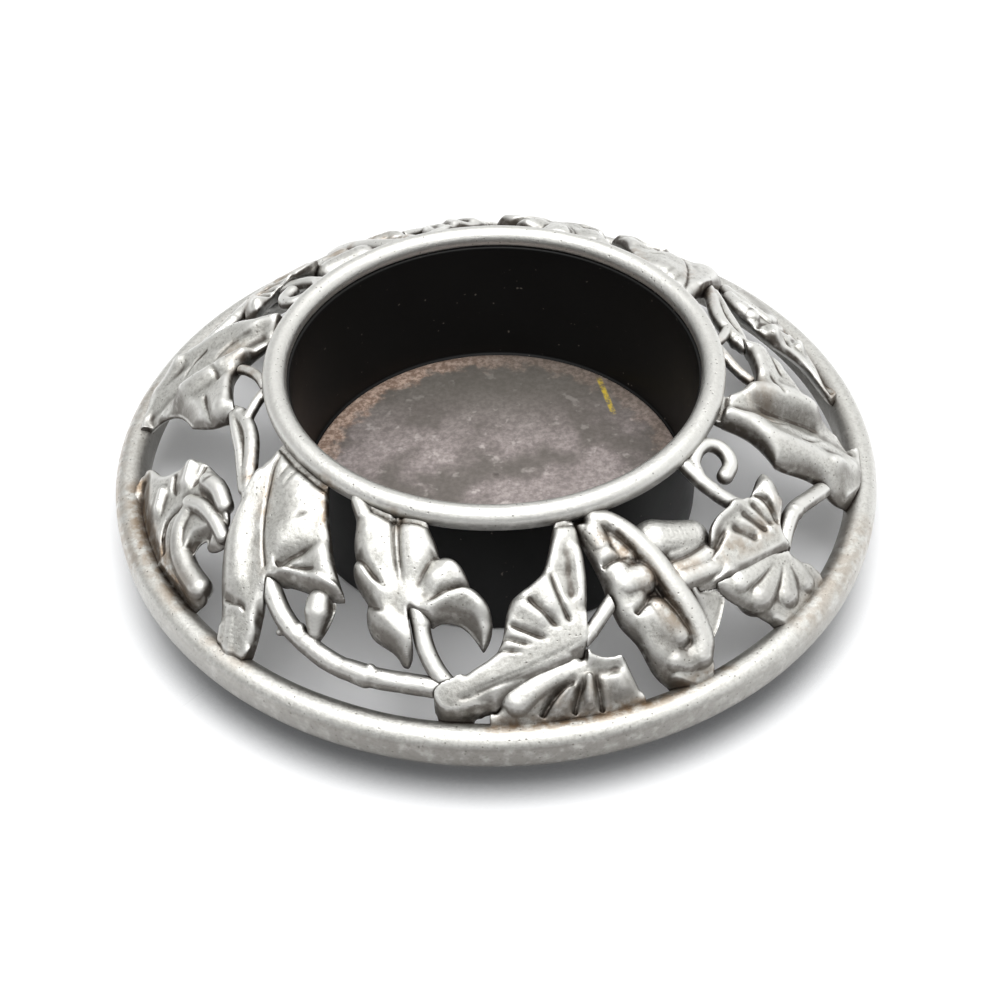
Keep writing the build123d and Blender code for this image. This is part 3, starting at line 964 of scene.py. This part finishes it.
def between_lengths(tree, value, lengths):
    """0 at the first length, 1 at the second, and soft in between. Lengths in millimetres."""
    first, second = lengths
    return between(tree, value, first * mm, second * mm)


def openness(tree, reach, samples):
    """How free of other surfaces each spot is within a reach in millimetres, from 0 to 1."""
    inputs = {"Distance": reach * mm}
    return add_node(tree, "ShaderNodeAmbientOcclusion", inputs, samples=samples).outputs["AO"]


def read_value(tree, name):
    return add_node(tree, "ShaderNodeAttribute", attribute_name=name).outputs["Fac"]


def finish(tree, shader, colour, dull, height, strength, depth):
    """Gives a shader its colour, its roughness, and a bump with a depth in millimetres."""
    bump = add_node(tree, "ShaderNodeBump", {"Strength": strength, "Distance": depth * mm, "Height": height})
    set_inputs(tree, shader, {"Base Color": colour, "Roughness": dull, "Normal": bump.outputs["Normal"]})


def pewter():
    """Satin cast pewter: dark patina in its hollows and creases, painted shade on its flanks and in its
    corners, lighter crests that are partly polish and partly a painted highlight, brown stains at its joints,
    and fine pits.
    """
    dim_metal = (0.64, 0.635, 0.6, 1)
    pale_metal = (0.8, 0.795, 0.76, 1)
    worn_metal = (0.24, 0.225, 0.2, 1)
    polished_highlight_metal = (0.86, 0.855, 0.825, 1)
    brown_stain = (0.33, 0.235, 0.15, 1)
    black_patina_and_shade = (0.075, 0.06, 0.048, 1)
    pit_colour = (0.12, 0.11, 0.09, 1)
    corner_reach = 1.3
    pit_spacing = 0.5
    material, tree, shader, place = new_material("cast_pewter")
    cloud = noise(tree, place, 4.0)
    grain = noise(tree, place, 0.35, detail=5.0, roughness=0.7)
    mottle = noise(tree, place, 1.1, detail=4.0)
    patchy = between(tree, mottle, 0.2, 0.55)
    hollow = between(tree, read_value(tree, "hollow"), 0.0, 0.1)
    # Crests, and the rings through their stored values, take a lighter colour, partly polish and partly a
    # painted highlight
    crest_polish_and_highlight = between(tree, read_value(tree, "hollow"), -0.01, -0.1)
    # Painted shade in corners and where parts meet, from how closed in each spot is, with dark tarnish at the
    # joints
    corner_shade_and_tarnish = between(tree, openness(tree, corner_reach, 8), 0.8, 0.35)
    shade_and_tarnish = scaled(tree, read_value(tree, "shade_and_tarnish"), 0.95)
    # Dark patina of hollows and creases, mixed with the painted shade of flanks and corners
    patina_and_shade = maths(tree, "MAXIMUM", scaled(tree, hollow, 0.9), corner_shade_and_tarnish, shade_and_tarnish)
    patina_and_shade = maths(tree, "MULTIPLY", patina_and_shade, scaled(tree, patchy, 0.4, 0.6))
    patina_and_shade = maths(tree, "MAXIMUM", patina_and_shade, maths(tree, "MULTIPLY", read_value(tree, "crease"), patchy))
    stain = maths(tree, "MULTIPLY", read_value(tree, "stain"), between(tree, mottle, 0.32, 0.62))
    colour = mixed(tree, cloud, dim_metal, pale_metal)
    worn = mixed(tree, 0.45, colour, worn_metal)
    colour = mixed(tree, between(tree, grain, 0.3, 0.6), worn, colour)
    colour = mixed(tree, crest_polish_and_highlight, colour, polished_highlight_metal)
    colour = mixed(tree, stain, colour, brown_stain)
    colour = mixed(tree, patina_and_shade, colour, black_patina_and_shade)
    dots = add_node(tree, "ShaderNodeTexVoronoi", {"Vector": place, "Scale": 1 / (pit_spacing * mm)}).outputs
    few = between(tree, dots["Color"], 0.5, 0.65)
    pits = maths(tree, "MULTIPLY", between(tree, dots["Distance"], 0.24, 0.08), few)
    colour = mixed(tree, scaled(tree, pits, 0.65), colour, pit_colour)
    shader.inputs["Metallic"].default_value = 0.95
    dull = maths(tree, "ADD", scaled(tree, grain, 0.3, 0.2), scaled(tree, patina_and_shade, 0.2))
    height = maths(tree, "SUBTRACT", grain, scaled(tree, pits, 0.5))
    finish(tree, shader, colour, dull, height, 0.6, 0.09)
    return material


def lacquer():
    """Black satin lacquer with pale dust specks."""
    deep_black = (0.002, 0.002, 0.002, 1)
    soft_black = (0.006, 0.006, 0.006, 1)
    dust = (0.18, 0.16, 0.14, 1)
    material, tree, shader, place = new_material("black_lacquer")
    cloud = noise(tree, place, 6.0)
    grain = noise(tree, place, 0.5, detail=4.0)
    specks = between(tree, noise(tree, place, 0.7, detail=1.0), 0.74, 0.8)
    colour = mixed(tree, cloud, deep_black, soft_black)
    colour = mixed(tree, scaled(tree, specks, 0.6), colour, dust)
    shader.inputs["Specular IOR Level"].default_value = 0.2
    finish(tree, shader, colour, scaled(tree, cloud, 0.2, 0.3), grain, 0.2, 0.03)
    return material


# Yellow scratch on the disc: its middle, its turn from +X, and where its ends and sides fade out
scratch_middle = (12.3, 12.3)
scratch_turn = radians(102)
scratch_ends = (3.4, 2.6)
scratch_sides = (0.4, 0.15)
scratch_place = Vector((*scratch_middle, disc_high[2])) * mm
scratch_along = Vector((cos(scratch_turn), sin(scratch_turn), 0))
scratch_across = Vector((-sin(scratch_turn), cos(scratch_turn), 0))


def within(tree, offset, direction, fade):
    """1 where an offset goes little along a direction, and 0 where it goes far, either way."""
    gap = maths(tree, "ABSOLUTE", vectors(tree, "DOT_PRODUCT", offset, direction)["Value"], 0)
    return between_lengths(tree, gap, fade)


def worn_disc():
    """Dull mauve-grey metal with dark and light speckle, a coppery edge on the left and a yellow scratch."""
    dim_mauve = (0.3, 0.25, 0.245, 1)
    pale_mauve = (0.48, 0.42, 0.405, 1)
    dark_speckle = (0.1, 0.08, 0.08, 1)
    light_spot = (0.58, 0.52, 0.5, 1)
    dark_olive = (0.11, 0.105, 0.085, 1)
    dark_copper = (0.3, 0.2, 0.15, 1)
    light_copper = (0.66, 0.5, 0.41, 1)
    yellow = (0.75, 0.55, 0.06, 1)
    copper_radii = (disc_radius - 2.8, disc_radius - 1.2)
    copper_wander = 5.0
    copper_sides = (6.0, -12.0)
    dark_depths = (2.0, 15.0)
    material, tree, shader, place = new_material("worn_disc")
    cloud = noise(tree, place, 7.0)
    speckle = noise(tree, place, 0.6, detail=5.0, roughness=0.7)
    spots = noise(tree, place, 1.6, detail=3.0)
    parts = add_node(tree, "ShaderNodeSeparateXYZ", {0: place}).outputs
    wander = maths(tree, "MULTIPLY", maths(tree, "SUBTRACT", spots, 0.5), copper_wander * mm)
    away = maths(tree, "ADD", vectors(tree, "LENGTH", place)["Value"], wander)
    leftward = between_lengths(tree, parts["X"], copper_sides)
    edge = between_lengths(tree, away, copper_radii)
    edge = maths(tree, "MULTIPLY", edge, scaled(tree, leftward, 0.7, 0.3))
    colour = mixed(tree, between(tree, cloud, 0.3, 0.7), dim_mauve, pale_mauve)
    speckled = mixed(tree, 0.55, colour, dark_speckle)
    colour = mixed(tree, between(tree, speckle, 0.35, 0.68), speckled, colour)
    colour = mixed(tree, between(tree, spots, 0.6, 0.72), colour, light_spot)
    far_side = between_lengths(tree, parts["Y"], dark_depths)
    dark = scaled(tree, between(tree, cloud, 0.6, 0.4), 0.6)
    dark = maths(tree, "MAXIMUM", dark, scaled(tree, far_side, 0.75))
    colour = mixed(tree, dark, colour, dark_olive)
    copper = mixed(tree, between(tree, speckle, 0.4, 0.62), dark_copper, light_copper)
    colour = mixed(tree, edge, colour, copper)
    offset = vectors(tree, "SUBTRACT", place, scratch_place)["Vector"]
    length = within(tree, offset, scratch_along, scratch_ends)
    width = within(tree, offset, scratch_across, scratch_sides)
    scratch = maths(tree, "MULTIPLY", length, width, between(tree, speckle, 0.35, 0.6))
    colour = mixed(tree, scratch, colour, yellow)
    shader.inputs["Metallic"].default_value = 0.2
    finish(tree, shader, colour, scaled(tree, speckle, 0.25, 0.45), speckle, 0.4, 0.06)
    return material


# Foliage, rims, cup and disc
pewter_metal = pewter()
black_lacquer = lacquer()
disc_metal = worn_disc()

outlines = free_outlines("front_")
for name in list(leaves) + list(stems):
    front = sculpt(name, outlines)
    back = front.copy()
    back.transform(Matrix.Rotation(pi, 4, "Z"))
    dress("leafwork_front_" + name, front, "front_" + name, "ring", pewter_metal)
    dress("leafwork_back_" + name, back, "back_" + name, "ring", pewter_metal)

# Rings take some of the leaves' lighter crest colour, partly polish and partly a painted highlight, and are
# darker inside and lower down, partly tarnish and mostly painted shade
rim_polish_and_highlight = -0.065
base_polish_and_highlight = -0.04
ring_wobble = 0.03
ring_turns = 480
base_side_shade = 0.1
base_front_shade = 0.65


def base_shade_and_tarnish(points, radii):
    """Darkening of the base ring: tarnish and painted shade on its inner face, and painted shade lower down,
    most of all at the front and the back.
    """
    inside = fading(radii, start=base_radius + 0.1, width=-0.9, strength=0.5)
    below = fading(points[:, 2], start=base_high[2] - 0.5, width=-0.45)
    forward = np.abs(points[:, 1]) / radii
    return np.maximum(inside, below * (base_side_shade + base_front_shade * forward**2))


def rim_shade(points, radii):
    """Painted shade of the rim, on its outer half below its top."""
    outer = fading(radii, start=rim_radius, width=0.6)
    return outer * fading(points[:, 2], start=rim_height + 0.65, width=-0.5, strength=0.6)


for name, node, profile, ring_darkening, polish_and_highlight in (
    ("rim_bead", "top_rim", rim_profile(), rim_shade, rim_polish_and_highlight),
    ("base_band", "base_ring", base_profile(), base_shade_and_tarnish, base_polish_and_highlight),
):
    ring = lathe(profile, ring_turns, ring_wobble)
    points = points_of(ring)
    # Painted shade lower on the base ring and on the rim's outer half, with tarnish inside the base ring
    set_values(ring, "shade_and_tarnish", ring_darkening(points, radii_of(points)))
    set_values(ring, "hollow", np.full(len(points), polish_and_highlight))
    set_values(ring, "stain", strength_at(stains, points))
    dress(name, ring, node, "ring", pewter_metal)

dress("cup_shell", lathe(cup_profile()), "cup", "cup", black_lacquer)
dress("disc_plate", lathe(disc_profile()), "floor_disc", "cup", disc_metal)

# Floor, pale and plain, with a contact shadow painted into its colour close to the front of the base ring
floor_size = 40000.0
floor_colour = (0.91, 0.915, 0.93, 1)
painted_shadow_colour = (0.16, 0.165, 0.175, 1)
painted_shadow_reach = 5.0
painted_shadow_radii = (35.0, 37.0)
painted_shadow_depths = (-10.0, -30.0)
floor_glow = 0.04

half = floor_size * mm / 2
floor_corners = [(-half, -half, 0), (half, -half, 0), (half, half, 0), (-half, half, 0)]
floor_mesh = bpy.data.meshes.new("floor")
floor_mesh.from_pydata(floor_corners, [], [(0, 1, 2, 3)])
floor = bpy.data.objects.new("floor", floor_mesh)
bpy.context.scene.collection.objects.link(floor)


def pale_floor():
    """Pale floor that glows a little where it is seen, and whose colour darkens in a painted contact shadow.
    """
    material, tree, shader, place = new_material("pale_floor")
    # Painted shadow: the floor's colour darkens where the ring is close, outside the ring only and towards
    # the front
    painted_shadow = between(tree, openness(tree, painted_shadow_reach, 16), 0.95, 0.5)
    outside = between_lengths(tree, vectors(tree, "LENGTH", place)["Value"], painted_shadow_radii)
    depth = add_node(tree, "ShaderNodeSeparateXYZ", {0: place}).outputs["Y"]
    painted_shadow = maths(tree, "MULTIPLY", painted_shadow, outside, between_lengths(tree, depth, painted_shadow_depths))
    ray = add_node(tree, "ShaderNodeLightPath").outputs
    seen = maths(tree, "ADD", ray["Is Camera Ray"], ray["Is Glossy Ray"], ray["Is Transmission Ray"])
    set_inputs(tree, shader, {
        "Base Color": mixed(tree, painted_shadow, floor_colour, painted_shadow_colour),
        "Roughness": 0.9,
        "Specular IOR Level": 0.0,
        "Emission Color": (1, 1, 1, 1),
        "Emission Strength": maths(tree, "MULTIPLY", seen, floor_glow),
    })
    return material


floor_mesh.materials.append(pale_floor())


# Camera at the photograph's angle, aimed from the middle of the rim
camera_distance = 154.74
camera_elevation = 44.3
camera_roll = -1.03
camera_focal_length = 56.68
camera_sensor_width = 36.0
camera_near_limit = 5.0
aim_right = 0.365
aim_up = -13.483

rise = radians(camera_elevation)
roll = radians(camera_roll)
backward = Vector((0, -cos(rise), sin(rise)))
rightward = Vector((1, 0, 0))
upward = backward.cross(rightward)
aim = Vector((0, 0, rim_height)) + rightward * aim_right + upward * aim_up
camera_spot = aim + backward * camera_distance
camera_right = cos(roll) * rightward + sin(roll) * upward
camera_up = cos(roll) * upward - sin(roll) * rightward
camera_data = bpy.data.cameras.new("camera")
camera_data.lens = camera_focal_length
camera_data.sensor_width = camera_sensor_width
camera_data.clip_start = camera_near_limit * mm
camera = bpy.data.objects.new("camera", camera_data)
turn = Matrix((camera_right, camera_up, backward)).transposed()
camera.matrix_world = Matrix.Translation(camera_spot * mm) @ turn.to_4x4()
bpy.context.scene.collection.objects.link(camera)
bpy.context.scene.camera = camera
bpy.context.scene.view_settings.view_transform = "Standard"


# Surroundings like a white tent: a bright roof, dimmer walls, brighter at the right, and a dark front doorway
roof_middle = Vector((0.05, -0.14, 0.99))
roof_edge = (0.45, 0.72)
roof_strength = 1.2
doorway_edge = (-0.8, 0.0)
doorway_strength = 0.1
wall_strength = 0.7
wall_slant = 0.25
tent_colour = (1, 1, 0.99, 1)
window_place = (0, 0, 400)
window_size = 280
window_power = 0.7


def light_tent():
    """World that lights the object from the tent."""
    world = bpy.data.worlds.new("tent")
    bpy.context.scene.world = world
    world.use_nodes = True
    tree = world.node_tree
    heading = add_node(tree, "ShaderNodeTexCoord").outputs["Generated"]
    roof = between(tree, vectors(tree, "DOT_PRODUCT", heading, roof_middle)["Value"], *roof_edge)
    parts = add_node(tree, "ShaderNodeSeparateXYZ", {0: heading}).outputs
    wall = scaled(tree, parts["X"], wall_slant, wall_strength - doorway_strength)
    wall = maths(tree, "MULTIPLY", wall, between(tree, parts["Y"], *doorway_edge))
    wall = maths(tree, "ADD", wall, doorway_strength)
    strength = maths(tree, "MULTIPLY", maths(tree, "SUBTRACT", roof_strength, wall), roof)
    strength = maths(tree, "ADD", strength, wall)
    set_inputs(tree, tree.nodes["Background"], {"Color": tent_colour, "Strength": strength})


def window_light():
    """Soft square lamp that looks at the middle of the object."""
    lamp = bpy.data.lights.new("window", "AREA")
    lamp.size = window_size * mm
    lamp.energy = window_power
    holder = bpy.data.objects.new("window", lamp)
    holder.location = Vector(window_place) * mm
    holder.rotation_mode = "QUATERNION"
    holder.rotation_quaternion = Vector(window_place).to_track_quat("Z", "Y")
    bpy.context.scene.collection.objects.link(holder)


window_light()
light_tent()
